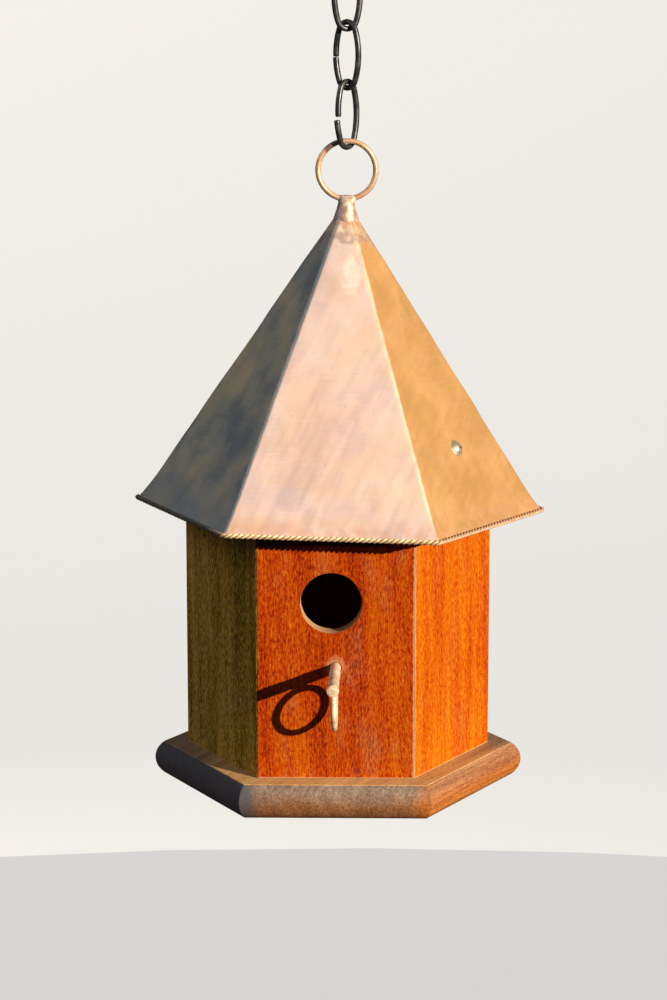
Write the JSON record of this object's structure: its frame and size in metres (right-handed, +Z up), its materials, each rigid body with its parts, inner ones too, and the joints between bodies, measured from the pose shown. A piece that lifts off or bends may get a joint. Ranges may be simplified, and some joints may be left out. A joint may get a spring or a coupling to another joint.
{
  "type": "hanging bird house",
  "caption": "Hexagonal wooden bird house with a pointed copper roof, round entrance, perch and ring, hung by a ring, a short chain and an S-hook.",
  "frame": {"origin": "underside of the crown of the S-hook's upper loop, where the bar that holds it bears", "axes": "+Z up along the chain, -Y towards the entrance and perch, +X to the right when the entrance is faced"},
  "size_m": [0.2649, 0.2547, 0.5599],
  "materials": {
    "mahogany": "oiled red-brown hardwood with open pores, sun-bleached in places",
    "weathered_board": "greyed, rough-grained board",
    "plain_board": "bare sawn softwood, hidden in the roof",
    "copper": "aged copper sheet, brown patina worn bright along the hips",
    "pale_copper": "oxidised copper with a pale bloom",
    "solder": "dull tin solder over copper",
    "black_steel": "blackened, worn to bare steel at the contacts",
    "screw_steel": "zinc-plated steel, dulled outdoors"
  },
  "bodies": {
    "hook": {"s_hook": "black_steel"},
    "upper_link": {"upper_link": "black_steel"},
    "middle_link": {"middle_link": "black_steel"},
    "lower_link": {"lower_link": "black_steel"},
    "house": {"front_wall": "mahogany", "right_front_wall": "mahogany", "right_rear_wall": "mahogany", "rear_wall": "mahogany", "left_rear_wall": "mahogany", "left_front_wall": "mahogany", "base_board": "weathered_board", "top_board": "plain_board", "base_screw_1": "screw_steel", "base_screw_2": "screw_steel", "base_screw_3": "screw_steel", "base_screw_4": "screw_steel", "base_screw_5": "screw_steel", "base_screw_6": "screw_steel", "top_screw_1": "screw_steel", "top_screw_2": "screw_steel", "top_screw_3": "screw_steel", "top_screw_4": "screw_steel", "top_screw_5": "screw_steel", "top_screw_6": "screw_steel", "perch_rod": "pale_copper", "perch_ring": "pale_copper", "roof_shell": "copper", "eave_rope": "copper", "ring_collar": "solder", "hanging_ring": "copper", "roof_washer_right": "screw_steel", "roof_screw_right": "screw_steel", "roof_washer_left": "screw_steel", "roof_screw_left": "screw_steel"}
  },
  "joints": [
    {"name": "hook_swing", "type": "hinge", "parent": "hook", "child": "upper_link", "pos_m": [0, 0, -0.038], "axis": [-0.342, 0.9397, 0], "range_deg": [-45, 45]},
    {"name": "upper_link_swing", "type": "hinge", "parent": "upper_link", "child": "middle_link", "pos_m": [0, 0, -0.0747], "axis": [0.9135, 0.4067, 0], "range_deg": [-40, 40]},
    {"name": "middle_link_swing", "type": "hinge", "parent": "middle_link", "child": "lower_link", "pos_m": [0, 0, -0.1112], "axis": [0.809, -0.5878, 0], "range_deg": [-45, 45]},
    {"name": "house_swivel", "type": "hinge", "parent": "lower_link", "child": "house", "pos_m": [0, 0, -0.14405], "axis": [0, 0, 1], "range_deg": [-86, 1]}
  ]
}
